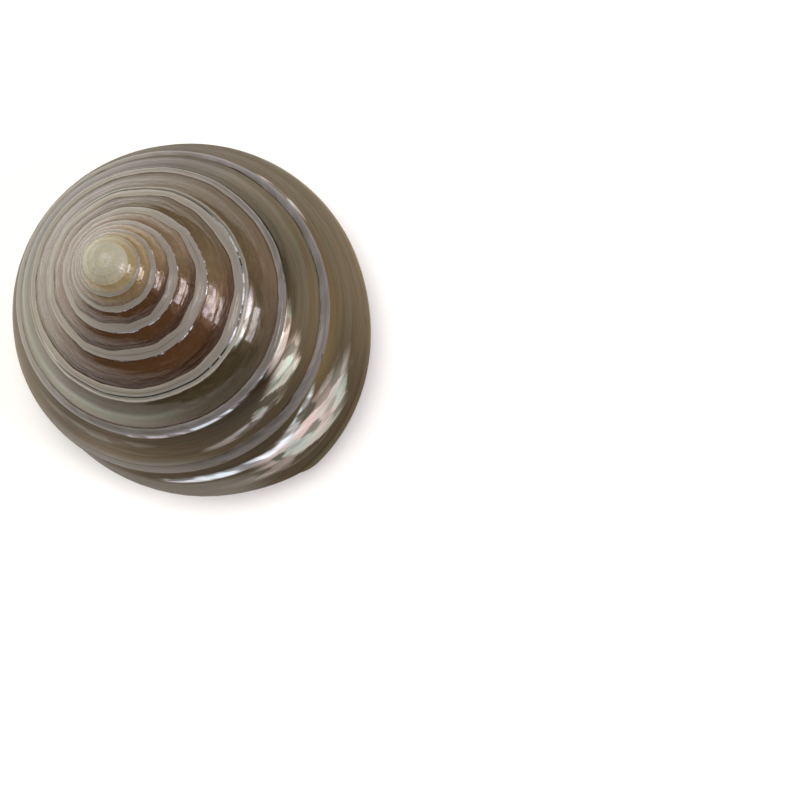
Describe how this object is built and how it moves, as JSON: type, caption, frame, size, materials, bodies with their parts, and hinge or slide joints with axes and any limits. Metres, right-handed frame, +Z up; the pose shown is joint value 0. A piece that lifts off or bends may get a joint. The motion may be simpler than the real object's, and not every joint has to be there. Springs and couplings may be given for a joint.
{
  "type": "polished top shell",
  "caption": "Polished conical sea snail shell, pearly brown, with pale spiral bands, a corded base, a navel and a slanting open mouth.",
  "frame": {"origin": "middle of the bounding box at the surface that the shell rests on", "axes": "+Z is up from that surface. The shell stands on its base and its tip leans about 9.5 degrees from +Z towards -X. The mouth is underneath, on the +X -Y side."},
  "size_m": [0.046, 0.0458, 0.0386],
  "materials": {
    "nacre": "polished mother-of-pearl, brown and silver with faint pink and green, and matt grey callus in the mouth"
  },
  "bodies": {
    "root": {"shell": "nacre"}
  },
  "joints": []
}
